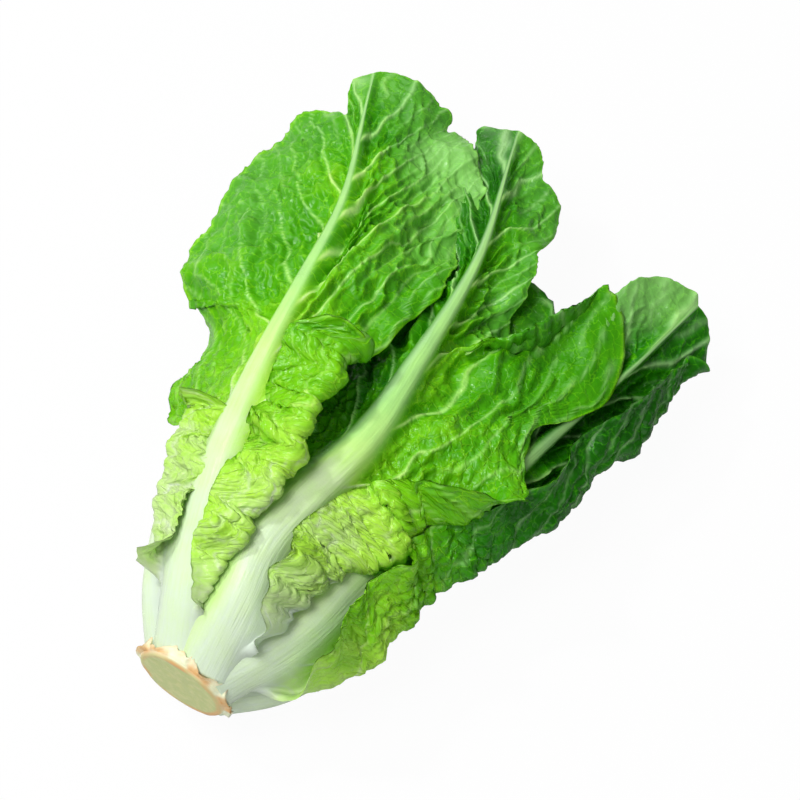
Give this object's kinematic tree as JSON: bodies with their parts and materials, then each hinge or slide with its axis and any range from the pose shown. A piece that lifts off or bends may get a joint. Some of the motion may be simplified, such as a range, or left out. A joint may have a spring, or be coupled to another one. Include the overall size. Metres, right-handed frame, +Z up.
{
  "type": "romaine lettuce head",
  "caption": "Whole romaine lettuce head lying on its side: sliced pale stem, broad ribs, folded lime lower margins and open green leaf tips.",
  "frame": {"origin": "bottom centre of the head's box, on the surface that the head lies on", "axes": "+Y runs from the sliced stem to the leaf tips, +Z up, +X to the right seen from the stem"},
  "size_m": [0.2222, 0.2928, 0.1095],
  "materials": {
    "stem_flesh": "satin",
    "outer_leaf": "satin",
    "under_leaf": "satin",
    "wrapped_leaf": "satin",
    "heart_leaf": "satin"
  },
  "bodies": {
    "root": {"stem": "stem_flesh", "leaf_left": "outer_leaf", "leaf_middle": "outer_leaf", "leaf_right": "outer_leaf", "leaf_side_right": "outer_leaf", "leaf_side_left": "outer_leaf", "leaf_under_middle": "under_leaf", "leaf_under_right": "under_leaf", "leaf_under_left": "under_leaf", "leaf_wrap_1": "wrapped_leaf", "leaf_wrap_2": "wrapped_leaf", "leaf_wrap_3": "wrapped_leaf", "leaf_wrap_4": "wrapped_leaf", "leaf_wrap_5": "wrapped_leaf", "leaf_wrap_6": "wrapped_leaf", "leaf_wrap_7": "wrapped_leaf", "leaf_wrap_8": "wrapped_leaf", "leaf_heart_1": "heart_leaf", "leaf_heart_2": "heart_leaf", "leaf_heart_3": "heart_leaf", "leaf_heart_4": "heart_leaf"}
  },
  "joints": []
}
